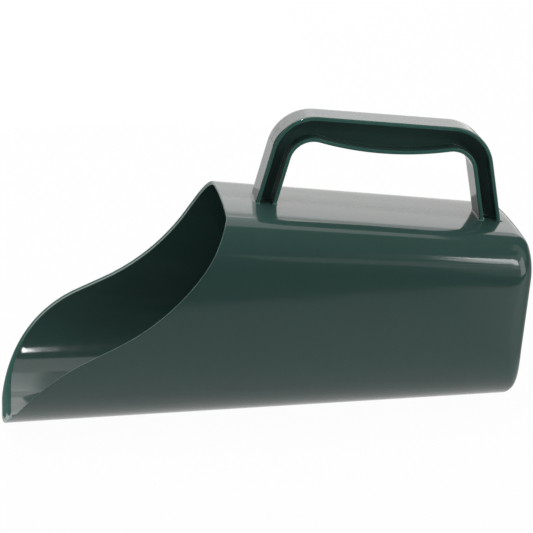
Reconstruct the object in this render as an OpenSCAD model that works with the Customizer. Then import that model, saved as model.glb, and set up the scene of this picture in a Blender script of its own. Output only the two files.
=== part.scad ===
// Feed scoop: a round-bottomed bowl with an S-shaped mouth, a closed rear wall and a loop
// handle of I-section on its sloping top. All of them are walls of one moulding, and each
// wall is a solid of its own that meets its neighbours face to face.
//
// The walls are laid out with X running from the lip to the rear, Y across and Z up, and are
// then moved so that the origin is under the middle of the scoop, on the surface it rests on.

/* [Bowl] */
// Length from the lip to the rearmost point
bowl_length = 310.7; // [302:0.1:320]
// Half the bowl's width at the lip
front_half_width = 61.2; // [58:0.1:65]
// Half the bowl's width at the rear
rear_half_width = 50.6; // [48:0.1:54]
// Height of the top, carried forward to the lip
front_height = 143.7; // [140:0.1:150]
// Height of the top at the rear
rear_height = 105.7; // [101:0.1:110]
// Wall thickness
wall = 2.4; // [1.8:0.1:3]
// Half the width of the flat strip along the bottom
strip_half_width = 9; // [6:0.5:12]
// Inward lean of the sides, in degrees
side_lean = 0.5; // [0:0.5:3]
// Radius of the shoulders between the sides and the top, carried forward to the lip
front_shoulder_radius = 32; // [28:0.5:36]
// Radius of the shoulders at the rear
rear_shoulder_radius = 24.5; // [20:0.5:28]
// Angle of the crown where it meets a shoulder, in degrees
crown_angle = 3.5; // [2.5:0.5:5]

/* [Rear wall] */
// Lean of the rear wall, its foot forward of its top, in degrees
rear_lean = 5; // [3:0.5:8]
// Outer radius of the rear wall's edge under the bowl
bottom_edge_radius = 3.5; // [3:0.1:6]
// Outer radius of the rear wall's edges at the sides
side_edge_radius = 12; // [8:0.5:14]
// Outer radius of the rear wall's edge at the top
top_edge_radius = 11; // [8:0.5:14]

/* [Mouth] */
// Steepness of the rim at the lip, in degrees
lip_angle = 69.5; // [66:0.5:74]
// Radius of the rim's outward bend above the lip
lip_radius = 92; // [86:1:98]
// Steepness of the rim at its shallowest, in degrees
waist_angle = 23.5; // [21:0.5:26]
// Length of the straight stretch at that steepness
waist_length = 16.5; // [12:0.5:20]
// Radius of the rim's bend up to the top
cheek_radius = 127; // [121:1:133]
// Steepness at which that bend ends, in degrees
cheek_angle = 61.5; // [58:0.5:66]

/* [Handle] */
// Depth of the handle's base line under the top, carried forward to the lip
base_sink = 0.8; // [0:0.1:3]
// How much less steep the base line is than the top, in degrees
base_turn = 0.4; // [0:0.05:1.5]
// Distance of the front leg from above the lip, along the base line
handle_front = 152.8; // [149:0.2:157]
// Distance of the rear leg's outside from above the lip, along the base line
handle_rear = 299.9; // [296:0.1:301]
// Height of the handle above the base line
handle_height = 53.7; // [50:0.1:58]
// Width of the handle across the scoop
handle_width = 20; // [18:0.5:22]
// Thickness of a leg, seen from the side
leg_thickness = 12.1; // [11:0.1:14]
// Rearward lean of the front leg from the base line's normal, in degrees
front_leg_lean = 10; // [7:0.5:12]
// Forward lean of the rear leg from the base line's normal, in degrees
rear_leg_lean = 16; // [13:0.5:18]
// Outer radius of the front bend
front_bend_radius = 25.5; // [22:0.5:30]
// Outer radius of the rear bend
rear_bend_radius = 26.5; // [23:0.5:30]
// Radius of the finger opening's upper corners
opening_corner_radius = 13.5; // [11:0.5:15]
// Radius of the belly under the grip
belly_radius = 195; // [170:5:220]
// Height of the belly's lowest point above the base line
belly_height = 34.8; // [32:0.1:37]
// Distance of that point from above the lip, along the base line
belly_place = 224; // [218:1:230]
// Thickness of the two flanges
flange = 2.3; // [1.8:0.1:3]
// Thickness of the web between them
web = 3.6; // [3:0.1:5]

/* [Hidden] */

plastic = [0.05, 0.115, 0.1];

// The part of the crown under the handle is flat, so that the feet seat fully on it
flat_angle = 1.6;

// Where the rear wall's edge radius changes: from under the bowl up to the sides, and from
// the shoulders up to the top. These are angles of the outward normal, as below.
low_blend = [42, 90];
high_blend = [147, 176.5];

// Steps that the outline and the skins are drawn with
bottom_steps = 22;
side_steps = 5;
shoulder_steps = 9;
crown_steps = 2;
skin_rows = 5;
edge_steps = 6;
rim_passes = 8;
bend_steps = 12;

// ---- Outline of the bowl across X: strip, bottom arc, side, shoulder arc, crown arc ----
// An angle here is that of the outward normal, from 0 straight down to 180 straight up.

side_angle = 90 + side_lean;
shoulder_end = 180 - crown_angle;
crown_end = 180 - flat_angle;

function lerp(a, b, f) = a + (b - a) * f;
function half_width(x) = lerp(front_half_width, rear_half_width, x / bowl_length);
function top_height(x) = lerp(front_height, rear_height, x / bowl_length);
function shoulder_radius(x) = lerp(front_shoulder_radius, rear_shoulder_radius, x / bowl_length);

function bottom_radius(x) = half_width(x) - strip_half_width;

// Distance of the side from the middle of the strip, along the side's normal
function side_reach(x) = strip_half_width * cos(side_lean) + bottom_radius(x) * (1 + sin(side_lean));

// The shoulder's centre is its radius in from the side, and its end lies on the crown
function shoulder_y(x) =
    let (rise = tan(crown_angle / 2))
    let (radius = shoulder_radius(x))
    let (under = top_height(x) - radius * (cos(crown_angle) + rise * sin(crown_angle)))
    (side_reach(x) - radius - under * sin(side_lean)) / (cos(side_lean) - rise * sin(side_lean));
function crown_radius(x) = shoulder_y(x) / sin(crown_angle) + shoulder_radius(x);
function shoulder_z(x) =
    top_height(x) - crown_radius(x) + (crown_radius(x) - shoulder_radius(x)) * cos(crown_angle);

// An arc is 0 for the bottom, 1 for a shoulder or 2 for the crown
function arc_radius(arc, x) = [bottom_radius(x), shoulder_radius(x), crown_radius(x)][arc];
function arc_centre(arc, x) = [
    [strip_half_width, bottom_radius(x)],
    [shoulder_y(x), shoulder_z(x)],
    [0, top_height(x) - crown_radius(x)]
][arc];
function arc_point(arc, angle, x) = arc_centre(arc, x) + arc_radius(arc, x) * [sin(angle), -cos(angle)];

// A site is one place on the outline: arc, angle, how far up the side it is, and which side.
// Every site moves along a straight line as x grows, so a skin is a fan of straight lines.
SIDE = 3;
half_sites = concat(
    [for (i = [0:bottom_steps]) [0, side_angle * i / bottom_steps, 0]],
    [for (i = [1:side_steps - 1]) [SIDE, side_angle, i / side_steps]],
    [for (i = [0:shoulder_steps]) [1, lerp(side_angle, shoulder_end, i / shoulder_steps), 0]],
    [for (i = [1:crown_steps]) [2, lerp(shoulder_end, crown_end, i / crown_steps), 0]]
);
half_count = len(half_sites);
sites = concat(
    [for (s = half_sites) concat(s, 1)],
    [for (i = [half_count - 1:-1:0]) concat(half_sites[i], -1)]
);

function across(site, x) =
    site[0] == SIDE
        ? lerp(arc_point(0, side_angle, x), arc_point(1, side_angle, x), site[2])
        : arc_point(site[0], site[1], x);
function on_line(site, x) = let (p = across(site, x)) [x, site[3] * p[0], p[1]];
function line_step(site) = on_line(site, 1) - on_line(site, 0);

// Outward normal of the skin along a site's line, with the taper taken in
function unit(v) = v / norm(v);
function normal(site) =
    let (flat = [0, site[3] * sin(site[1]), -cos(site[1])])
    unit(flat - [flat * line_step(site), 0, 0]);

// A place on the skin, a depth under the outer face
function on_skin(site, x, depth) = on_line(site, x) - depth * normal(site);

// ---- Side view of the mouth's rim: lip bend, straight waist, cheek bend ----

lip_end = lip_radius * [sin(lip_angle) - sin(waist_angle), cos(waist_angle) - cos(lip_angle)];
waist_end = lip_end + waist_length * [cos(waist_angle), sin(waist_angle)];
cheek_end = waist_end + cheek_radius * [
    sin(cheek_angle) - sin(waist_angle),
    cos(waist_angle) - cos(cheek_angle)
];

function rim_profile(z) =
    z < lip_end[1] ? lip_radius * (sin(lip_angle) - sin(acos(cos(lip_angle) + z / lip_radius)))
    : z < waist_end[1] ? lip_end[0] + (z - lip_end[1]) / tan(waist_angle)
    : z < cheek_end[1] ? waist_end[0] + cheek_radius
        * (sin(acos(cos(waist_angle) - (z - waist_end[1]) / cheek_radius)) - sin(waist_angle))
    : cheek_end[0] + (z - cheek_end[1]) / tan(cheek_angle);

// Where a site's line crosses the rim, found by stepping towards it
function rim_x(site, depth, passes, x) =
    passes == 0 ? x
    : rim_x(site, depth, passes - 1,
        rim_profile(on_skin(site, x, depth)[2]) + depth * normal(site)[0]);

// ---- Rear wall: a leaning plane with its edges rolled over ----

rear_normal = [cos(rear_lean), 0, -sin(rear_lean)];
top_slope = (front_height - rear_height) / bowl_length;
roll_x = bowl_length - top_edge_radius;
roll_centre = [roll_x, 0, top_height(roll_x) - top_edge_radius * norm([1, top_slope])];
rear_reach = roll_centre * rear_normal + top_edge_radius;

function smooth(f) = let (g = min(max(f, 0), 1)) g * g * (3 - 2 * g);
function blend(angle, ends) = smooth((angle - ends[0]) / (ends[1] - ends[0]));
function edge_radius(site) =
    site[1] <= side_angle
        ? lerp(bottom_edge_radius, side_edge_radius, blend(site[1], low_blend))
        : lerp(side_edge_radius, top_edge_radius, blend(site[1], high_blend));

// Where the edge roll starts on a site's line
function roll_start(site) =
    let (radius = edge_radius(site))
    (rear_reach - radius + (radius * normal(site) - on_line(site, 0)) * rear_normal)
    / (line_step(site) * rear_normal);

// A place on the edge roll, from the skin at 0 to the rear plane at 1
function on_roll(site, f, depth) =
    let (n = normal(site), turn = acos(n * rear_normal), radius = edge_radius(site))
    let (way = (sin((1 - f) * turn) * n + sin(f * turn) * rear_normal) / sin(turn))
    on_skin(site, roll_start(site), radius) + (radius - depth) * way;

function skin_ring(f, depth) = [
    for (s = sites) on_skin(s, lerp(rim_x(s, depth, rim_passes, 0), roll_start(s), f), depth)
];
function roll_ring(f, depth) = [for (s = sites) on_roll(s, f, depth)];

// ---- Solids from rings of points ----

function ring_faces(n, from, to) = [
    for (i = [0:n - 1]) let (j = (i + 1) % n)
    each [[from + i, from + j, to + j], [from + i, to + j, to + i]]
];

// Rings that come back to the first one
module closed_band(rings) {
    n = len(rings[0]);
    count = len(rings);
    polyhedron(
        points = [for (ring = rings) each ring],
        faces = [for (r = [0:count - 1]) each ring_faces(n, r * n, (r + 1) % count * n)]
    );
}

// Rings whose first and last are flat and closed by a face
module capped_band(rings) {
    n = len(rings[0]);
    last = len(rings) - 1;
    polyhedron(
        points = [for (ring = rings) each ring],
        faces = concat(
            [for (r = [0:last - 1]) each ring_faces(n, r * n, (r + 1) * n)],
            [[for (i = [n - 1:-1:0]) i]],
            [[for (i = [0:n - 1]) last * n + i]]
        )
    );
}

// ---- Handle, drawn in its side view: u along the base line, v square to it ----

// Height of the flat under the handle at the lip, and how fast it falls
function flat_height(x) = top_height(x) - crown_radius(x) * (1 - cos(flat_angle));
flat_slope = (flat_height(0) - flat_height(bowl_length)) / bowl_length;

base_height = front_height - base_sink;
base_slope = atan(top_slope) - base_turn;

// Where a leg's line, named by its place on the base line, comes down on that flat
function foot(at, lean, way) =
    let (lift = flat_height(0) - base_height + at * (sin(base_slope) - flat_slope * cos(base_slope)))
    let (fall = flat_slope * cos(base_slope) - sin(base_slope))
    let (v = lift / (cos(base_slope) + flat_slope * sin(base_slope) + way * tan(lean) * fall))
    [at + way * tan(lean) * v, v];

function bend_centre(at, lean, radius, way) = [
    at + way * ((handle_height - radius) * tan(lean) + radius / cos(lean)),
    handle_height - radius
];
front_bend = bend_centre(handle_front, front_leg_lean, front_bend_radius, 1);
rear_bend = bend_centre(handle_rear, rear_leg_lean, rear_bend_radius, -1);

// Opening's corner: its centre lies beside a leg, and its circle touches the belly's
belly_centre = [belly_place, belly_height + belly_radius];
corner_reach = belly_radius + opening_corner_radius;
function corner_centre(at, lean, way) =
    let (t = tan(lean))
    let (a = way * (belly_place - at) - (leg_thickness + opening_corner_radius) / cos(lean))
    let (b = a * t + belly_centre[1])
    let (c = a * a + belly_centre[1] * belly_centre[1] - corner_reach * corner_reach)
    let (v = (b - sqrt(b * b - (1 + t * t) * c)) / (1 + t * t))
    [belly_place - way * (a - v * t), v];
front_corner = corner_centre(handle_front, front_leg_lean, 1);
rear_corner = corner_centre(handle_rear, rear_leg_lean, -1);

function direction(from, to) = atan2(to[1] - from[1], to[0] - from[0]);
function reversed(points) = [for (i = [len(points) - 1:-1:0]) points[i]];
function arc(centre, radius, from, to, steps) = [
    for (i = [0:steps]) let (a = lerp(from, to, i / steps)) centre + radius * [cos(a), sin(a)]
];

// The handle's outer line, set in by a distance, from the front foot to the rear foot
function outer_line(inset) = concat(
    [foot(handle_front + inset / cos(front_leg_lean), front_leg_lean, 1)],
    arc(front_bend, front_bend_radius - inset, 180 - front_leg_lean, 90, bend_steps),
    arc(rear_bend, rear_bend_radius - inset, 90, rear_leg_lean, bend_steps),
    [foot(handle_rear - inset / cos(rear_leg_lean), rear_leg_lean, -1)]
);

// The finger opening's line, grown by a distance, from the front foot to the rear foot
function opening_line(grow) =
    let (radius = opening_corner_radius + grow, inset = leg_thickness - grow)
    let (front_way = direction(front_corner, belly_centre))
    let (rear_way = direction(rear_corner, belly_centre))
    concat(
        [foot(handle_front + inset / cos(front_leg_lean), front_leg_lean, 1)],
        arc(front_corner, radius, 180 - front_leg_lean, front_way, bend_steps),
        arc(belly_centre, belly_radius - grow, 180 + front_way, 180 + rear_way, bend_steps),
        arc(rear_corner, radius, rear_way, rear_leg_lean, bend_steps),
        [foot(handle_rear - inset / cos(rear_leg_lean), rear_leg_lean, -1)]
    );

// A wall between two lines of the side view, stood on the top with its width across
module handle_wall(outer, inner, width) {
    translate([0, 0, base_height])
        rotate([0, base_slope, 0])
            rotate([90, 0, 0])
                linear_extrude(width, center = true)
                    polygon(concat(outer, reversed(inner)));
}

// Brings the middle of the scoop's length over the origin
top_edge = [for (i = [0:edge_steps]) on_roll(sites[half_count - 1], i / edge_steps, 0)[0]];
module centred() {
    translate([-max(top_edge) / 2, 0, 0]) children();
}

// ---- Walls of the moulding ----

module bowl() {
    color(plastic)
        centred()
            closed_band(concat(
                [for (r = [0:skin_rows]) skin_ring(r / skin_rows, 0)],
                [for (r = [skin_rows:-1:0]) skin_ring(r / skin_rows, wall)]
            ));
}

module rear_wall() {
    color(plastic)
        centred()
            capped_band(concat(
                [for (r = [edge_steps:-1:0]) roll_ring(r / edge_steps, 0)],
                [for (r = [0:edge_steps]) roll_ring(r / edge_steps, wall)]
            ));
}

module handle_web() {
    color(plastic)
        centred()
            handle_wall(outer_line(flange), opening_line(flange), web);
}

module handle_outer_flange() {
    color(plastic)
        centred()
            handle_wall(outer_line(0), outer_line(flange), handle_width);
}

module handle_inner_flange() {
    color(plastic)
        centred()
            handle_wall(opening_line(flange), opening_line(0), handle_width);
}

bowl();
rear_wall();
handle_web();
handle_outer_flange();
handle_inner_flange();
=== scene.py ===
"""Feed scoop: one glossy green plastic moulding on a white studio floor."""
import math

import bpy
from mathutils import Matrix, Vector


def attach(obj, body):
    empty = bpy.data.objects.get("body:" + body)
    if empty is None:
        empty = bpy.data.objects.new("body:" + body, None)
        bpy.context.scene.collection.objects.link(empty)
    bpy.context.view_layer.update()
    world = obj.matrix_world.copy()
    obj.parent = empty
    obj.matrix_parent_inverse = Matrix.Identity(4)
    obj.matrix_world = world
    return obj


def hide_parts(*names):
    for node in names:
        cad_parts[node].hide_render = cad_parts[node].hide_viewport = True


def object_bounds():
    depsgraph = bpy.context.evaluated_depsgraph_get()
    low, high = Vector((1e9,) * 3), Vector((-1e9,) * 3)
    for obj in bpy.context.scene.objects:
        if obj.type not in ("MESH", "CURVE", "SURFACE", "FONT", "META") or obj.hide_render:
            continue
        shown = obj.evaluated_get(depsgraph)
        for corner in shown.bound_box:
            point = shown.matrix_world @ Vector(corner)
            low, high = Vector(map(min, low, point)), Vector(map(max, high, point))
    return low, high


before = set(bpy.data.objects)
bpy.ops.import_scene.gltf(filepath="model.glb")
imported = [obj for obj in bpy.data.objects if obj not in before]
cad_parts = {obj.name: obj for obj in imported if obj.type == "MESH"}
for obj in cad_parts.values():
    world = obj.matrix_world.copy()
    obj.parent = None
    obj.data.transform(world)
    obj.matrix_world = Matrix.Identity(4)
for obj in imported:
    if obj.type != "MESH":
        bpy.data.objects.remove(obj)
cad_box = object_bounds()

MM = 0.001

# ---- Driving sizes, in millimetres and degrees. X is counted from the lip here ----

# The bowl's length and the handle's height and width are the solids' sizes less an inset, so
# that the looks stay inside the solids' box.
INSET = 0.05

# Bowl. A front size is carried forward to the lip.
BOWL_LENGTH = 310.7 - 2 * INSET
FRONT_HALF_WIDTH, REAR_HALF_WIDTH = 61.2, 50.6
FRONT_HEIGHT, REAR_HEIGHT = 143.7, 105.7
WALL = 2.4
STRIP_HALF_WIDTH = 9.0
SIDE_LEAN = 0.5
FRONT_SHOULDER, REAR_SHOULDER = 32.0, 24.5
CROWN_ANGLE = 3.5
REAR_LEAN = 5.0
BOTTOM_EDGE, SIDE_EDGE, TOP_EDGE = 3.5, 12.0, 11.0

# Mouth in side view, and its rim: the rounding of both corners and the bevel of the inner one.
LIP_ANGLE, LIP_RADIUS = 69.5, 92.0
WAIST_ANGLE, WAIST_LENGTH = 23.5, 16.5
CHEEK_ANGLE, CHEEK_RADIUS = 61.5, 127.0
RIM_ROUND = 0.35
RIM_BEVEL, LIP_BEVEL, BEVEL_FADE = 1.0, 3.5, 9.0

# Handle. Its base line starts under the top at the lip and is a little less steep. A foot's
# section follows the crown of the top, and is flat again above the sag height.
BASE_SINK, BASE_TURN = 0.8, 0.4
HANDLE_FRONT, HANDLE_REAR = 152.8, 299.9
HANDLE_HEIGHT = 53.7 - INSET
HANDLE_WIDTH = 20.0 - 2 * INSET
LEG_THICKNESS = 12.1
FRONT_LEG_LEAN, REAR_LEG_LEAN = 10.0, 16.0
FRONT_BEND, REAR_BEND = 25.5, 26.5
CORNER_RADIUS = 13.5
BELLY_RADIUS, BELLY_HEIGHT, BELLY_PLACE = 195.0, 34.8, 224.0
FLANGE, WEB = 2.3, 3.6
GRIP_ROUND, EDGE_ROUND = 0.8, 0.5
RECESS_FILLET, LEAST_FILLET = 0.5, 0.1
FOOT_FILLET, FOOT_FILLET_INSIDE = 1.3, 0.3
SAG_HEIGHT = 12.0

MIDDLE = (cad_box[1][0] - cad_box[0][0]) / MM / 2


def lerp(a, b, f):
    """From a at f = 0 to b at f = 1."""
    return a + (b - a) * f


def sind(angle):
    return math.sin(math.radians(angle))


def cosd(angle):
    return math.cos(math.radians(angle))


def placed(x, y, z):
    """A point of the moulding in the frame, in metres, with its middle over the origin."""
    return ((x - MIDDLE) * MM, y * MM, z * MM)


# ---- Bowl: its outline across X is strip, bottom arc, side, shoulder arc, crown arc ----

SIDE_ANGLE = 90 + SIDE_LEAN
SHOULDER_END = 180 - CROWN_ANGLE


def outline_arcs(x):
    """Centre and radius of the bottom, shoulder and crown arcs at x."""
    half_width = lerp(FRONT_HALF_WIDTH, REAR_HALF_WIDTH, x / BOWL_LENGTH)
    top = lerp(FRONT_HEIGHT, REAR_HEIGHT, x / BOWL_LENGTH)
    bottom = half_width - STRIP_HALF_WIDTH
    shoulder = lerp(FRONT_SHOULDER, REAR_SHOULDER, x / BOWL_LENGTH)
    rise = math.tan(math.radians(CROWN_ANGLE / 2))
    reach = STRIP_HALF_WIDTH * cosd(SIDE_LEAN) + bottom * (1 + sind(SIDE_LEAN))
    under = top - shoulder * (cosd(CROWN_ANGLE) + rise * sind(CROWN_ANGLE))
    shoulder_y = (reach - shoulder - under * sind(SIDE_LEAN)) \
        / (cosd(SIDE_LEAN) - rise * sind(SIDE_LEAN))
    crown = shoulder_y / sind(CROWN_ANGLE) + shoulder
    shoulder_z = top - crown + (crown - shoulder) * cosd(CROWN_ANGLE)
    return (((STRIP_HALF_WIDTH, bottom), bottom),
            ((shoulder_y, shoulder_z), shoulder),
            ((0.0, top - crown), crown))


def arc_point(arcs, arc, angle):
    """The point of an arc where the outline has turned by an angle from the strip."""
    (y, z), radius = arcs[arc]
    return y + radius * sind(angle), z - radius * cosd(angle)


STRIP_STEPS, BOTTOM_STEPS, SIDE_STEPS, SHOULDER_STEPS, CROWN_STEPS = 2, 56, 14, 28, 8
RIM_TRIES = 12


def half_sites():
    """Places on the outline, from the middle of the strip up to the middle of the crown."""
    sites = [("strip", 0.0, i / STRIP_STEPS) for i in range(STRIP_STEPS)]
    sites += [(0, SIDE_ANGLE * i / BOTTOM_STEPS, 0) for i in range(BOTTOM_STEPS + 1)]
    sites += [("side", SIDE_ANGLE, i / SIDE_STEPS) for i in range(1, SIDE_STEPS)]
    sites += [(1, lerp(SIDE_ANGLE, SHOULDER_END, i / SHOULDER_STEPS), 0)
              for i in range(SHOULDER_STEPS + 1)]
    sites += [(2, lerp(SHOULDER_END, 180, i / CROWN_STEPS), 0) for i in range(1, CROWN_STEPS + 1)]
    return sites


def across(site, x):
    """Where a site of the outline lies at x: y and z."""
    kind, angle, part = site
    arcs = outline_arcs(x)
    if kind == "strip":
        return STRIP_HALF_WIDTH * part, 0.0
    if kind == "side":
        low, high = arc_point(arcs, 0, angle), arc_point(arcs, 1, angle)
        return lerp(low[0], high[0], part), lerp(low[1], high[1], part)
    return arc_point(arcs, kind, angle)


class SkinLine:
    """The straight line that one site of the outline follows from lip to rear."""

    def __init__(self, site, side):
        y0, z0 = across(site, 0.0)
        y1, z1 = across(site, 1.0)
        self.start = Vector((0.0, side * y0, z0))
        self.step = Vector((1.0, side * (y1 - y0), z1 - z0))
        flat = Vector((0.0, side * sind(site[1]), -cosd(site[1])))
        self.normal = (flat - Vector((flat.dot(self.step), 0, 0))).normalized()
        self.edge = edge_radius(site[1])

    def at(self, x, depth=0.0):
        """The line's point at x, a depth under the outer face."""
        return self.start + x * self.step - depth * self.normal

    def rim(self, depth):
        """Where the line, a depth under the outer face, crosses the mouth's rim."""
        x = 0.0
        for _ in range(RIM_TRIES):
            x = rim_profile(self.at(x, depth).z) + depth * self.normal.x
        return x


def rim_profile(z):
    """Side view of the mouth: x for a height, over lip bend, straight waist and cheek bend."""
    lip_x = LIP_RADIUS * (sind(LIP_ANGLE) - sind(WAIST_ANGLE))
    lip_z = LIP_RADIUS * (cosd(WAIST_ANGLE) - cosd(LIP_ANGLE))
    waist_x = lip_x + WAIST_LENGTH * cosd(WAIST_ANGLE)
    waist_z = lip_z + WAIST_LENGTH * sind(WAIST_ANGLE)
    cheek_z = waist_z + CHEEK_RADIUS * (cosd(WAIST_ANGLE) - cosd(CHEEK_ANGLE))
    cheek_x = waist_x + CHEEK_RADIUS * (sind(CHEEK_ANGLE) - sind(WAIST_ANGLE))
    if z < lip_z:
        turn = math.acos(cosd(LIP_ANGLE) + z / LIP_RADIUS)
        return LIP_RADIUS * (sind(LIP_ANGLE) - math.sin(turn))
    if z < waist_z:
        return lip_x + (z - lip_z) / math.tan(math.radians(WAIST_ANGLE))
    if z < cheek_z:
        turn = math.acos(cosd(WAIST_ANGLE) - (z - waist_z) / CHEEK_RADIUS)
        return waist_x + CHEEK_RADIUS * (math.sin(turn) - sind(WAIST_ANGLE))
    return cheek_x + (z - cheek_z) / math.tan(math.radians(CHEEK_ANGLE))


def skin_lines():
    """One line for each site, up the right side and down the left one."""
    sites = half_sites()
    right = [SkinLine(site, 1) for site in sites]
    left = [SkinLine(site, -1) for site in sites[1:-1]]
    return right + left[::-1]


REAR_NORMAL = Vector((cosd(REAR_LEAN), 0.0, -sind(REAR_LEAN)))
TOP_SLOPE = (FRONT_HEIGHT - REAR_HEIGHT) / BOWL_LENGTH

# Where on the outline, by its angle, the radius of the rear edge changes.
LOW_BLEND, HIGH_BLEND = (42, 90), (147, 176.5)


def blend(value, ends):
    """A smooth step from 0 to 1 while the value runs from one end to the other."""
    f = min(max((value - ends[0]) / (ends[1] - ends[0]), 0.0), 1.0)
    return f * f * (3 - 2 * f)


def edge_radius(angle):
    """Outer radius of the rear edge: tight under the bowl, wide at the sides, less at the top."""
    if angle <= SIDE_ANGLE:
        return lerp(BOTTOM_EDGE, SIDE_EDGE, blend(angle, LOW_BLEND))
    return lerp(SIDE_EDGE, TOP_EDGE, blend(angle, HIGH_BLEND))


def rear_reach():
    """How far along its own normal the rear wall's outer plane lies."""
    x = BOWL_LENGTH - TOP_EDGE
    centre = Vector((x, 0.0, FRONT_HEIGHT - TOP_SLOPE * x - TOP_EDGE * math.hypot(1, TOP_SLOPE)))
    return centre.dot(REAR_NORMAL) + TOP_EDGE


def roll_start(line):
    """The x at which a line of the skin passes into the rear edge's rounding."""
    lift = line.edge * line.normal - line.start
    return (rear_reach() - line.edge + lift.dot(REAR_NORMAL)) / line.step.dot(REAR_NORMAL)


def roll_point(line, f, depth):
    """From the skin at f = 0 over the rounded edge to the rear plane at f = 1."""
    turn = math.acos(line.normal.dot(REAR_NORMAL))
    way = (math.sin((1 - f) * turn) * line.normal + math.sin(f * turn) * REAR_NORMAL) / math.sin(turn)
    return line.at(roll_start(line), line.edge) + (line.edge - depth) * way


SKIN_ROWS, ROLL_ROWS, ROUND_ROWS, CAP_ROWS = 56, 12, 6, 14
ROW_CROWDING = 1.3

# Two places across the rim's face, between which its painted edge glow gains the painted pale
# highlight.
FACE_STEPS = (0.5, 0.6)

# The skin's first ring stands behind the rim by this, and by so many times the bevel.
SKIN_START, BEVEL_START = 3 * RIM_ROUND, 2.6


def rim_bevel(z):
    """How far the rim's inner corner stands behind the outer one; the lip is the most bevelled."""
    return RIM_BEVEL + LIP_BEVEL * math.exp(-z / BEVEL_FADE)


def rim_back(corners, i, normal):
    """The direction along the skin that leads away from the mouth, square to the rim at a corner."""
    along = (corners[(i + 1) % len(corners)] - corners[i - 1]).normalized()
    back = along.cross(normal)
    return -back if back.x < 0 else back


def rim_corner(corner, back, into, bevel):
    """One rounded corner of the rim, from the skin to the rim's face."""
    arc = []
    for k in range(ROUND_ROWS + 1):
        turn = math.pi / 2 * k / ROUND_ROWS
        inset = (1 - math.sin(turn)) * back + (1 - math.cos(turn)) * into
        arc.append(corner + bevel * back + RIM_ROUND * inset)
    return arc


def rim_rings(lines):
    """The rim's edge from the outer skin over both rounded corners to the inner skin."""
    outer = [line.at(line.rim(0.0)) for line in lines]
    inner = [line.at(line.rim(WALL), WALL) for line in lines]
    crossings = []
    for i, line in enumerate(lines):
        through = (inner[i] - outer[i]).normalized()
        first = rim_corner(outer[i], rim_back(outer, i, line.normal), through, 0.0)
        bevel = rim_bevel(outer[i].z)
        last = rim_corner(inner[i], rim_back(inner, i, line.normal), -through, bevel)[::-1]
        face = [first[-1].lerp(last[0], step) for step in FACE_STEPS]
        crossings.append(first + face + last)
    return [list(ring) for ring in zip(*crossings)]


def skin_ring(lines, f, depth):
    """A ring of the skin, from behind the rim's rounding at 0 to the rear edge roll at 1."""
    ring = []
    for line in lines:
        rim = line.rim(depth)
        bevel = rim_bevel(line.at(rim).z) if depth else 0.0
        start = rim + SKIN_START + BEVEL_START * bevel
        ring.append(line.at(lerp(start, roll_start(line), f), depth))
    return ring


def skin_rings(lines, depth):
    """Rings from the rim to the rear edge, closer together near the rim."""
    return [skin_ring(lines, (k / SKIN_ROWS) ** ROW_CROWDING, depth) for k in range(SKIN_ROWS + 1)]


def roll_rings(lines, depth):
    """Rings over the rounded rear edge, up to the rear plane."""
    return [[roll_point(line, k / ROLL_ROWS, depth) for line in lines] for k in range(1, ROLL_ROWS + 1)]


def cap_rings(ring, centre):
    """Rings shrinking towards the middle of the flat rear face."""
    return [[p.lerp(centre, k / CAP_ROWS) for p in ring] for k in range(1, CAP_ROWS)]


def middle_of(ring):
    return sum(ring, Vector()) / len(ring)


def add_mesh(name, points, faces, marks):
    """A smooth mesh whose points carry a mark: 0, 1 on a thin edge for a painted glow, up to 2 for a
    painted pale highlight.
    """
    mesh = bpy.data.meshes.new(name)
    mesh.from_pydata([placed(*p) for p in points], [], faces)
    mesh.update()
    mesh.attributes.new("edge", "FLOAT", "POINT").data.foreach_set("value", marks)
    piece = bpy.data.objects.new(name, mesh)
    bpy.context.collection.objects.link(piece)
    for polygon in mesh.polygons:
        polygon.use_smooth = True
    return piece


def tube_faces(count, rings):
    """The faces between neighbouring rings that have count points each."""
    starts = range(0, (rings - 1) * count, count)
    return [(row + i, row + (i + 1) % count, row + count + (i + 1) % count, row + count + i)
            for row in starts for i in range(count)]


# The rim's outer corner has this edge mark, a painted glow with some painted highlight, and the inner
# one has a painted pale highlight between these heights.
OUTER_MARK = 1.35
PAINTED_HIGHLIGHT_FROM, PAINTED_HIGHLIGHT_TO = (18, 40), (100, 125)


def rim_mark(row, last, z):
    """The edge mark of a row over the rim; the inner corner gets a painted pale highlight at the middle
    heights.
    """
    if row <= ROUND_ROWS:
        return OUTER_MARK * min(1.0, 2 * row / ROUND_ROWS)
    if row == ROUND_ROWS + 1:
        return 1.0
    painted_highlight = blend(z, PAINTED_HIGHLIGHT_FROM) * (1 - blend(z, PAINTED_HIGHLIGHT_TO))
    return min(1.0, (last - row) / ROUND_ROWS) * (1 + painted_highlight)


def make_bowl():
    """Bowl and rear wall as one skin, outside and inside, with a rounded rim."""
    lines = skin_lines()
    outer_roll, inner_roll = roll_rings(lines, 0.0)[::-1], roll_rings(lines, WALL)
    outer_centre, inner_centre = middle_of(outer_roll[0]), middle_of(inner_roll[-1])
    outside = cap_rings(outer_roll[0], outer_centre)[::-1] + outer_roll + skin_rings(lines, 0.0)[::-1]
    rim = rim_rings(lines)
    inside = skin_rings(lines, WALL) + inner_roll + cap_rings(inner_roll[-1], inner_centre)
    rings, count = outside + rim + inside, len(lines)
    points = [p for ring in rings for p in ring] + [outer_centre, inner_centre]
    faces = tube_faces(count, len(rings))
    outer_tip, inner_tip, last = len(points) - 2, len(points) - 1, (len(rings) - 1) * count
    faces += [(outer_tip, (i + 1) % count, i) for i in range(count)]
    faces += [(inner_tip, last + i, last + (i + 1) % count) for i in range(count)]
    marks = [rim_mark(row, len(rim) - 1, p.z) for row, ring in enumerate(rim) for p in ring]
    marks = [0.0] * (len(outside) * count) + marks + [0.0] * (len(inside) * count + 2)
    return add_mesh("scoop_bowl", points, faces, marks)


# ---- Handle: an I-section carried from foot to foot between its outer and inner line ----

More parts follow.
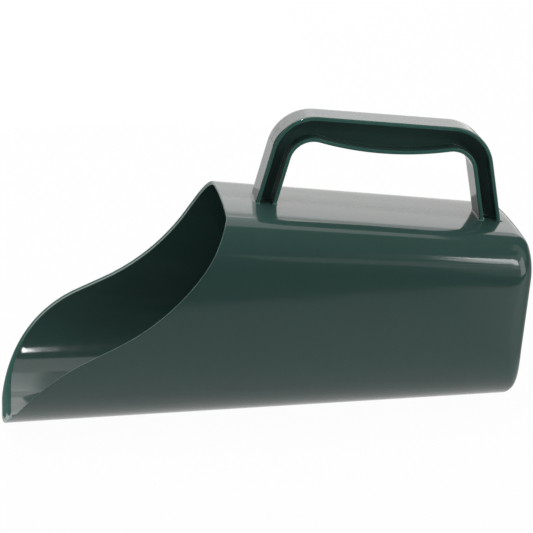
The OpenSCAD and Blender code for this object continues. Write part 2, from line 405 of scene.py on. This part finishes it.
BASE_HEIGHT = FRONT_HEIGHT - BASE_SINK
BASE_SLOPE = math.degrees(math.atan(TOP_SLOPE)) - BASE_TURN


def on_base(u, v, y):
    """From the handle's side view, u along its base line and v square to it, to x, y, z."""
    return Vector((u * cosd(BASE_SLOPE) + v * sind(BASE_SLOPE), y,
                   BASE_HEIGHT - u * sind(BASE_SLOPE) + v * cosd(BASE_SLOPE)))


def crown_level(u):
    """The v at which the top of the bowl lies under the handle."""
    lift = FRONT_HEIGHT - BASE_HEIGHT + u * (sind(BASE_SLOPE) - TOP_SLOPE * cosd(BASE_SLOPE))
    return lift / (cosd(BASE_SLOPE) + TOP_SLOPE * sind(BASE_SLOPE))


def bend_centre(foot, lean, radius, way):
    """Centre of an outer bend, which touches its leg's outer line and the grip's top."""
    reach = (HANDLE_HEIGHT - radius) * math.tan(math.radians(lean)) + radius / cosd(lean)
    return foot + way * reach, HANDLE_HEIGHT - radius


def corner_centre(foot, lean, way):
    """An upper corner of the finger opening: beside its leg and touching the belly's circle."""
    t = math.tan(math.radians(lean))
    reach = BELLY_RADIUS + CORNER_RADIUS
    high = BELLY_HEIGHT + BELLY_RADIUS
    a = way * (BELLY_PLACE - foot) - (LEG_THICKNESS + CORNER_RADIUS) / cosd(lean)
    b = a * t + high
    c = a * a + high * high - reach * reach
    v = (b - math.sqrt(b * b - (1 + t * t) * c)) / (1 + t * t)
    return BELLY_PLACE - way * (a - v * t), v


FRONT_CENTRE = bend_centre(HANDLE_FRONT, FRONT_LEG_LEAN, FRONT_BEND, 1)
REAR_CENTRE = bend_centre(HANDLE_REAR, REAR_LEG_LEAN, REAR_BEND, -1)
FRONT_CORNER = corner_centre(HANDLE_FRONT, FRONT_LEG_LEAN, 1)
REAR_CORNER = corner_centre(HANDLE_REAR, REAR_LEG_LEAN, -1)
BELLY_CENTRE = (BELLY_PLACE, BELLY_HEIGHT + BELLY_RADIUS)


def direction(a, b):
    """The angle, in degrees, of the way from a to b."""
    return math.degrees(math.atan2(b[1] - a[1], b[0] - a[0]))


def arc_stations(centre, radius, start, end, steps, inward=False):
    """Points on an arc with the outward normal of the handle's material there."""
    stations = []
    for i in range(steps + 1):
        angle = lerp(start, end, i / steps)
        way = (cosd(angle), sind(angle))
        normal = (-way[0], -way[1]) if inward else way
        stations.append(((centre[0] + radius * way[0], centre[1] + radius * way[1]), normal))
    return stations


LEG_STEPS, BEND_STEPS, GRIP_STEPS = 22, 20, 40
FOOT_LEVELS = (-0.8, 0.0, 0.06, 0.16, 0.3, 0.5, 0.75, 1.05, 1.4, 1.8, 2.2, 3.0)


def leg_stations(foot, lean, way, top, outer):
    """A leg's straight line from its foot to a point, with close levels at the foot fillet."""
    normal = (-way * cosd(lean), sind(lean))
    if not outer:
        normal = (-normal[0], -normal[1])
    levels = [crown_level(foot) + level for level in FOOT_LEVELS]
    levels += [lerp(levels[-1], top, i / LEG_STEPS) for i in range(1, LEG_STEPS)]
    slope = way * math.tan(math.radians(lean))
    return [((foot + slope * v, v), normal) for v in levels]


def outer_stations():
    """The handle's outer line, from the front foot over the grip to the rear foot."""
    top = FRONT_CENTRE[1] + FRONT_BEND * sind(FRONT_LEG_LEAN)
    stations = leg_stations(HANDLE_FRONT, FRONT_LEG_LEAN, 1, top, True)
    stations += arc_stations(FRONT_CENTRE, FRONT_BEND, 180 - FRONT_LEG_LEAN, 90, BEND_STEPS)
    grip = [lerp(FRONT_CENTRE[0], REAR_CENTRE[0], i / GRIP_STEPS) for i in range(1, GRIP_STEPS)]
    stations += [((u, HANDLE_HEIGHT), (0.0, 1.0)) for u in grip]
    stations += arc_stations(REAR_CENTRE, REAR_BEND, 90, REAR_LEG_LEAN, BEND_STEPS)
    top = REAR_CENTRE[1] + REAR_BEND * sind(REAR_LEG_LEAN)
    return stations + leg_stations(HANDLE_REAR, REAR_LEG_LEAN, -1, top, True)[::-1]


def inner_stations():
    """The finger opening's line, foot to foot, with the belly that hangs under the grip."""
    front = HANDLE_FRONT + LEG_THICKNESS / cosd(FRONT_LEG_LEAN)
    rear = HANDLE_REAR - LEG_THICKNESS / cosd(REAR_LEG_LEAN)
    front_way, rear_way = direction(FRONT_CORNER, BELLY_CENTRE), direction(REAR_CORNER, BELLY_CENTRE)
    top = FRONT_CORNER[1] + CORNER_RADIUS * sind(FRONT_LEG_LEAN)
    stations = leg_stations(front, FRONT_LEG_LEAN, 1, top, False)
    start = 180 - FRONT_LEG_LEAN
    stations += arc_stations(FRONT_CORNER, CORNER_RADIUS, start, front_way, BEND_STEPS, True)
    belly = arc_stations(BELLY_CENTRE, BELLY_RADIUS, 180 + front_way, 180 + rear_way, GRIP_STEPS)
    stations += belly[1:-1]
    stations += arc_stations(REAR_CORNER, CORNER_RADIUS, rear_way, REAR_LEG_LEAN, BEND_STEPS, True)
    top = REAR_CORNER[1] + CORNER_RADIUS * sind(REAR_LEG_LEAN)
    return stations + leg_stations(rear, REAR_LEG_LEAN, -1, top, False)[::-1]


FLAT_STEPS, OUTER_STEPS, INNER_STEPS, RECESS_STEPS = 4, 6, 4, 3


def corner_arc(w, y, radius, start, end, steps):
    """Points on a small arc in the handle's section, around a depth w and a width y."""
    angles = [lerp(start, end, i / steps) for i in range(steps + 1)]
    return [(w + radius * cosd(angle), y + radius * sind(angle)) for angle in angles]


def flange_section(edge_round, grow):
    """Half a flange from its middle line outside to the web: depth into the handle, y, edge mark."""
    half = HANDLE_WIDTH / 2
    inward = min(grow, FOOT_FILLET_INSIDE)
    back, web = FLANGE + inward, WEB / 2 + inward
    fillet = max(RECESS_FILLET - inward, LEAST_FILLET)
    points = [(-grow, (half - edge_round) * k / FLAT_STEPS, 0.0) for k in range(FLAT_STEPS)]
    # Over the flange's rounded side the edge mark paints a glow of light carried through the thin
    # plastic.
    outer = corner_arc(edge_round, half - edge_round, edge_round + grow, 180, 90, OUTER_STEPS)
    points += [(w, y, i / OUTER_STEPS) for i, (w, y) in enumerate(outer)]
    inner = corner_arc(back - EDGE_ROUND, half - EDGE_ROUND, EDGE_ROUND + inward, 90, 0, INNER_STEPS)
    points += [(w, y, 1 - i / INNER_STEPS) for i, (w, y) in enumerate(inner)]
    points += [(back, lerp(half - EDGE_ROUND, web + fillet, k / RECESS_STEPS), 0.0)
               for k in range(1, RECESS_STEPS)]
    recess = corner_arc(back + fillet, web + fillet, fillet, 180, 270, INNER_STEPS)
    return points + [(w, y, 0.0) for w, y in recess]


def foot_growth(height):
    """How far the foot's fillet spreads at a height above the top."""
    if height >= FOOT_FILLET:
        return 0.0
    level = max(height, 0.0)
    return FOOT_FILLET - math.sqrt(FOOT_FILLET ** 2 - (FOOT_FILLET - level) ** 2)


def handle_loop(outer, inner):
    """One section of the handle, around both flanges and the web: u, v, y and edge mark."""
    right = []
    for ((u, v), normal), rounding, turn in ((outer, GRIP_ROUND, 1), (inner, EDGE_ROUND, -1)):
        section = flange_section(rounding, foot_growth(v - crown_level(u)))
        right += [(u - normal[0] * w, v - normal[1] * w, y, mark) for w, y, mark in section][::turn]
    left = [(u, v, -y, mark) for u, v, y, mark in right[1:-1]][::-1]
    return right + left


def over_crown(u, v, y):
    """A point of the handle, lowered near its foot as the top falls away from the middle line."""
    crown_radius = outline_arcs(u)[2][1]
    height = max(v - crown_level(u), 0.0)
    sag = y * y / (2 * crown_radius) * max(0.0, 1 - height / SAG_HEIGHT)
    return on_base(u, v - sag, y)


def make_handle():
    """The handle as one closed skin that ends inside the bowl's wall at both feet."""
    loops = [handle_loop(outer, inner) for outer, inner in zip(outer_stations(), inner_stations())]
    points = [over_crown(u, v, y) for loop in loops for u, v, y, _ in loop]
    marks = [mark for loop in loops for _, _, _, mark in loop]
    count = len(loops[0])
    faces = tube_faces(count, len(loops))
    faces += [tuple(range(count - 1, -1, -1)), tuple(range(len(points) - count, len(points)))]
    return add_mesh("scoop_handle", points, faces, marks)


# ---- Plastic ----

DARK_GREEN, LIGHT_GREEN = (0.029, 0.066, 0.057, 1), (0.032, 0.074, 0.064, 1)
# The edge green is a painted glow of light carried through the thin plastic to its edges.
EDGE_GLOW_GREEN = (0.043, 0.134, 0.108, 1)
# The pale green is a painted highlight on the rim's inner corner.
PAINTED_HIGHLIGHT_GREEN = (0.34, 0.4, 0.38, 1)
PLASTIC_IOR = 1.49

# Over the range of the scuffs' noise, the roughness of the gloss and the share of dull haze grow.
SCUFF_RANGE = (0.35, 0.75)
GLOSS_ROUGHNESS, DULL_ROUGHNESS = (0.07, 0.11), 0.36
HAZE = (0.1, 0.17)

# The parting line fades over these distances from the middle, in metres, from this depth to none.
LINE_FADE, LINE_DEPTH = (0.0001, 0.0004), 0.5


def node(tree, kind, **values):
    """A new node with its settings and its sockets' values set by name."""
    made = tree.nodes.new(kind)
    for key, value in values.items():
        if hasattr(made, key):
            setattr(made, key, value)
        else:
            made.inputs[key].default_value = value
    return made


def ramp(tree, source, ends, values):
    """A number that runs from one value to the other while the source runs between the ends."""
    made = node(tree, "ShaderNodeMapRange")
    for name, value in zip(("From Min", "From Max", "To Min", "To Max"), ends + values):
        made.inputs[name].default_value = value
    tree.links.new(source, made.inputs["Value"])
    return made.outputs["Result"]


def combine(tree, operation, first, second):
    """The result of a Math node on two sockets, or on a socket and a number."""
    made = node(tree, "ShaderNodeMath", operation=operation)
    for socket, value in zip(made.inputs, (first, second)):
        if isinstance(value, (int, float)):
            socket.default_value = value
        else:
            tree.links.new(value, socket)
    return made.outputs[0]


def show_mix(tree, share, first, second):
    """The material's surface: the first shader where the share is 0, the second where it is 1."""
    mix = node(tree, "ShaderNodeMixShader")
    tree.links.new(share, mix.inputs["Fac"])
    tree.links.new(first, mix.inputs[1])
    tree.links.new(second, mix.inputs[2])
    tree.links.new(mix.outputs["Shader"], tree.nodes["Material Output"].inputs["Surface"])


def object_place(tree):
    """The place on the object: all of it as a vector, and its x and y."""
    place = node(tree, "ShaderNodeTexCoord").outputs["Object"]
    parts = node(tree, "ShaderNodeSeparateXYZ")
    tree.links.new(place, parts.inputs["Vector"])
    return place, parts.outputs["X"], parts.outputs["Y"]


def noise(tree, place, scale, detail, roughness=0.5):
    """Noise from 0 to 1."""
    made = node(tree, "ShaderNodeTexNoise", Scale=scale, Detail=detail, Roughness=roughness)
    tree.links.new(place, made.inputs["Vector"])
    return made.outputs["Fac"]


def tinted(tree, colour, share, tint):
    """A colour that turns into a fixed tint as the share goes to 1."""
    made = node(tree, "ShaderNodeMix", data_type="RGBA")
    made.inputs["B"].default_value = tint
    tree.links.new(share, made.inputs["Factor"])
    tree.links.new(colour, made.inputs["A"])
    return made.outputs["Result"]


def plastic_colour(tree, wave):
    """Dark green, with a painted glow on thin edges and a painted pale highlight on the rim's inner
    corner.
    """
    green = node(tree, "ShaderNodeValToRGB")
    for element, shade in zip(green.color_ramp.elements, (DARK_GREEN, LIGHT_GREEN)):
        element.color = shade
    tree.links.new(wave, green.inputs["Fac"])
    edge = node(tree, "ShaderNodeAttribute", attribute_name="edge").outputs["Fac"]
    edge_glow = tinted(tree, green.outputs["Color"], edge, EDGE_GLOW_GREEN)
    return tinted(tree, edge_glow, ramp(tree, edge, (1.0, 2.0), (0.0, 1.0)), PAINTED_HIGHLIGHT_GREEN)


def plastic_relief(tree, wave, peel, line):
    """The normal over slow waviness, orange peel and the parting line's groove."""
    slow = node(tree, "ShaderNodeBump", Strength=0.25, Distance=0.0006)
    fine = node(tree, "ShaderNodeBump", Strength=0.06, Distance=0.00004)
    groove = node(tree, "ShaderNodeBump", Strength=0.3, Distance=0.00008, invert=True)
    for bump, height in ((slow, wave), (fine, peel), (groove, line)):
        tree.links.new(height, bump.inputs["Height"])
    tree.links.new(slow.outputs["Normal"], fine.inputs["Normal"])
    tree.links.new(fine.outputs["Normal"], groove.inputs["Normal"])
    return groove.outputs["Normal"]


def green_plastic():
    """Glossy dark green polypropylene: a clear gloss, dulled by scuffs and along the parting line."""
    material = bpy.data.materials.new("green_plastic")
    material.use_nodes = True
    tree = material.node_tree
    place, _, y = object_place(tree)
    wave = noise(tree, place, scale=18.0, detail=1.0)
    peel = noise(tree, place, scale=900.0, detail=2.0)
    scuff = noise(tree, place, scale=160.0, detail=6.0, roughness=0.7)
    off_middle = node(tree, "ShaderNodeMath", operation="ABSOLUTE")
    tree.links.new(y, off_middle.inputs[0])
    line = ramp(tree, off_middle.outputs[0], LINE_FADE, (LINE_DEPTH, 0.0))
    colour, normal = plastic_colour(tree, wave), plastic_relief(tree, wave, peel, line)
    clear = tree.nodes["Principled BSDF"]
    dull = node(tree, "ShaderNodeBsdfPrincipled", Roughness=DULL_ROUGHNESS)
    for shader in (clear, dull):
        shader.inputs["IOR"].default_value = PLASTIC_IOR
        tree.links.new(colour, shader.inputs["Base Color"])
        tree.links.new(normal, shader.inputs["Normal"])
    tree.links.new(ramp(tree, scuff, SCUFF_RANGE, GLOSS_ROUGHNESS), clear.inputs["Roughness"])
    haze = combine(tree, "MAXIMUM", ramp(tree, scuff, SCUFF_RANGE, HAZE), line)
    show_mix(tree, haze, clear.outputs["BSDF"], dull.outputs["BSDF"])
    return material


# ---- Studio, in metres. Azimuth 0 is the front (-Y), 90 the right (+X) and 180 behind ----

CAMERA_AZIMUTH, CAMERA_ELEVATION = -7.993, 20.103
CAMERA_DISTANCE = 1.0781
CAMERA_TARGET = Vector((0.00367, -0.00302, 0.08333))
# The sensor's width and the focal length are in millimetres.
SENSOR_WIDTH = 36.0
FOCAL_LENGTH = 3.4253 * SENSOR_WIDTH
CAMERA_REACH = 20

STUDIO_RADIUS = 1.6
STUDIO_MIDDLE = Vector((0.02, 0, 0.08))

# A slanted back wall, made of strips: name, ends along the wall, heights, radiance
BACK_MIDDLE, BACK_TURN = (0.434, 1.545), 15.0
BACK_COLOUR = (1.0, 0.96, 0.955)
BACK_STRIPS = (("back_low", (-1.12, 0.8), (0.0, 0.42), 1.4),
               ("back_grip", (-1.12, 0.8), (0.42, 0.58), 1.58),
               ("back_left", (-1.12, -0.3), (0.58, 0.83), 1.65),
               ("back_middle", (-0.3, 0.8), (0.58, 0.83), 1.92),
               ("back_high", (-1.12, 0.8), (0.83, 1.12), 1.2),
               ("back_top", (-1.12, 0.8), (1.12, 1.55), 1.6))

# Soft boxes around the scoop: name, azimuths, elevations, radiance
SOFT_BOXES = (("right_low", (45, 75), (0, 20), 2.8),
              ("right_middle", (45, 75), (20, 35), 3.0),
              ("right_high", (45, 75), (35, 50), 0.7),
              ("right_side", (75, 100), (15, 60), 0.6),
              ("front_right", (15, 45), (20, 30), 0.5),
              ("key_glow", (30, 42), (22, 30), 0.9),
              ("key_tail", (24, 42), (2, 22), 0.4),
              ("key_left", (31.5, 35), (32, 39), 5.5),
              ("key_right", (35, 42), (29, 43), 10.5),
              ("front_left", (-45, -15), (-12, 20), 1.15),
              ("left_side", (260, 285), (35, 60), 2.2))

# Level cards overhead: name, middle in plan, size, radiance
CARD_HEIGHT = 1.28
CARDS = (("overhead", (0.34, 0.83), (0.56, 1.16), 1.3),
         ("lip_far", (-0.334, 0.835), (0.4, 1.17), 2.6),
         ("lip_middle", (-0.037, 0.83), (0.194, 1.16), 0.65),
         ("lip_near", (-0.17, 0.0), (0.26, 0.5), 1.6))

# A ceiling that isn't mirrored: middle in plan, height, size, radiance
CEILING_FILL = ((0.02, 0), 1.7, (1.3, 1.3), 1.75)

# A narrow lamp that puts a streak inside the lip: place, target, size, radiance
LAMP = ((-0.184, -0.5, 1.09), (-0.142, 0.045, 0.018), (0.014, 0.12), 160.0)

WORLD_DIM = 0.05
FLOOR_FRONT, FLOOR_BACK, FLOOR_SIDE = -0.275, 1.7, 2.0
FLOOR_COLOUR, FLOOR_ROUGHNESS = (0.8, 0.8, 0.8, 1), 0.9
SHADOW = 0.03


def toward(azimuth, elevation):
    """The unit vector from the scoop in a direction of the studio."""
    return Vector((sind(azimuth) * cosd(elevation), -cosd(azimuth) * cosd(elevation), sind(elevation)))


def make_camera():
    """A camera that sees the scoop from the photo's side."""
    data = bpy.data.cameras.new("camera")
    data.sensor_width = SENSOR_WIDTH
    data.lens = FOCAL_LENGTH
    data.clip_end = CAMERA_REACH
    camera = bpy.data.objects.new("camera", data)
    bpy.context.collection.objects.link(camera)
    away = toward(CAMERA_AZIMUTH, CAMERA_ELEVATION)
    camera.location = CAMERA_TARGET + CAMERA_DISTANCE * away
    camera.rotation_euler = away.to_track_quat("Z", "Y").to_euler()
    bpy.context.scene.camera = camera


def panel(name, place, target, size, radiance):
    """A rectangular soft light of one brightness that faces a target."""
    data = bpy.data.lights.new(name, "AREA")
    data.shape = "RECTANGLE"
    data.size, data.size_y = size
    data.energy = radiance * math.pi * size[0] * size[1]
    light = bpy.data.objects.new(name, data)
    bpy.context.collection.objects.link(light)
    light.location = place
    light.rotation_euler = (Vector(place) - Vector(target)).to_track_quat("Z", "Y").to_euler()
    light.visible_camera = False
    return light


def back_strip(name, ends, heights, radiance):
    """A strip of the back wall, between two places along it and two heights."""
    along, height = sum(ends) / 2, sum(heights) / 2
    x = BACK_MIDDLE[0] + cosd(BACK_TURN) * along
    y = BACK_MIDDLE[1] - sind(BACK_TURN) * along
    target = (x - sind(BACK_TURN), y - cosd(BACK_TURN), height)
    strip = panel(name, (x, y, height), target, (ends[1] - ends[0], heights[1] - heights[0]), radiance)
    strip.data.color = BACK_COLOUR


def soft_box(name, azimuths, elevations, radiance):
    """A panel that fills a range of directions as the scoop sees them."""
    rise = sum(elevations) / 2
    place = STUDIO_MIDDLE + STUDIO_RADIUS * toward(sum(azimuths) / 2, rise)
    width = 2 * STUDIO_RADIUS * math.tan(math.radians(azimuths[1] - azimuths[0]) / 2) * cosd(rise)
    height = 2 * STUDIO_RADIUS * math.tan(math.radians(elevations[1] - elevations[0]) / 2)
    panel(name, place, STUDIO_MIDDLE, (width, height), radiance)


def card(name, middle, height, size, radiance):
    """A level panel that shines straight down."""
    return panel(name, (*middle, height), (*middle, 0), size, radiance)


def make_lights():
    """Back wall, soft boxes, lamp and cards, which the gloss mirrors, and a fill from above."""
    for name, ends, heights, radiance in BACK_STRIPS:
        back_strip(name, ends, heights, radiance)
    for name, azimuths, elevations, radiance in SOFT_BOXES:
        soft_box(name, azimuths, elevations, radiance)
    panel("lamp", *LAMP)
    for name, middle, size, radiance in CARDS:
        card(name, middle, CARD_HEIGHT, size, radiance)
    card("ceiling_fill", *CEILING_FILL).visible_glossy = False


def straight_rays(tree, path):
    """1 for what the camera sees, also through glass, else 0."""
    return combine(tree, "MAXIMUM", path.outputs["Is Camera Ray"], path.outputs["Is Transmission Ray"])


def make_world():
    """White to the camera, a dim room to everything else."""
    world = bpy.data.worlds.new("studio")
    bpy.context.scene.world = world
    world.use_nodes = True
    tree = world.node_tree
    background = tree.nodes["Background"]
    background.inputs["Color"].default_value = (1, 1, 1, 1)
    straight = straight_rays(tree, node(tree, "ShaderNodeLightPath"))
    tree.links.new(combine(tree, "MAXIMUM", straight, WORLD_DIM), background.inputs["Strength"])


def mirrored_floor(tree):
    """How bright the plastic mirrors the floor: more towards the back, with a brighter patch at
    the front right and the rest of the right side dimmer."""
    _, x, y = object_place(tree)
    near, far = ramp(tree, y, (FLOOR_FRONT, 0.0), (0.5, 0.95)), ramp(tree, y, (0.5, 1.5), (0.0, 0.45))
    brighter = combine(tree, "MULTIPLY", ramp(tree, x, (0.17, 0.22), (0.0, 0.42)),
                       ramp(tree, y, (-0.17, -0.11), (1.0, 0.0)))
    dimmer = combine(tree, "MULTIPLY", ramp(tree, x, (0.16, 0.22), (0.0, -0.6)),
                     ramp(tree, y, (-0.1, -0.02), (0.0, 1.0)))
    patches = combine(tree, "ADD", brighter, dimmer)
    return combine(tree, "ADD", combine(tree, "ADD", near, far), patches)


def floor_white():
    """White to the camera with a trace of shadow, and to mirrored rays as mirrored_floor says."""
    material = bpy.data.materials.new("floor_white")
    material.use_nodes = True
    tree = material.node_tree
    lit = tree.nodes["Principled BSDF"]
    lit.inputs["Base Color"].default_value = FLOOR_COLOUR
    lit.inputs["Roughness"].default_value = FLOOR_ROUGHNESS
    path = node(tree, "ShaderNodeLightPath")
    straight = straight_rays(tree, path)
    glow = node(tree, "ShaderNodeEmission")
    tree.links.new(combine(tree, "MAXIMUM", straight, mirrored_floor(tree)), glow.inputs["Strength"])
    unshadowed = combine(tree, "MULTIPLY", straight, 1 - SHADOW)
    share = combine(tree, "MAXIMUM", unshadowed, path.outputs["Is Glossy Ray"])
    show_mix(tree, share, lit.outputs["BSDF"], glow.outputs["Emission"])
    return material


def make_floor():
    """A floor that ends a little in front of the scoop."""
    corners = [(-FLOOR_SIDE, FLOOR_FRONT, 0), (FLOOR_SIDE, FLOOR_FRONT, 0),
               (FLOOR_SIDE, FLOOR_BACK, 0), (-FLOOR_SIDE, FLOOR_BACK, 0)]
    mesh = bpy.data.meshes.new("floor")
    mesh.from_pydata(corners, [], [(0, 1, 2, 3)])
    mesh.materials.append(floor_white())
    floor = bpy.data.objects.new("floor", mesh)
    bpy.context.collection.objects.link(floor)


def main():
    plastic = green_plastic()
    bowl, handle = make_bowl(), make_handle()
    for piece, nodes in ((bowl, ("bowl", "rear_wall")),
                         (handle, ("handle_web", "handle_outer_flange", "handle_inner_flange"))):
        piece.data.materials.append(plastic)
        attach(piece, "root")
        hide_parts(*nodes)
    make_camera()
    make_world()
    make_floor()
    make_lights()
    bpy.context.scene.view_settings.view_transform = "Standard"


main()
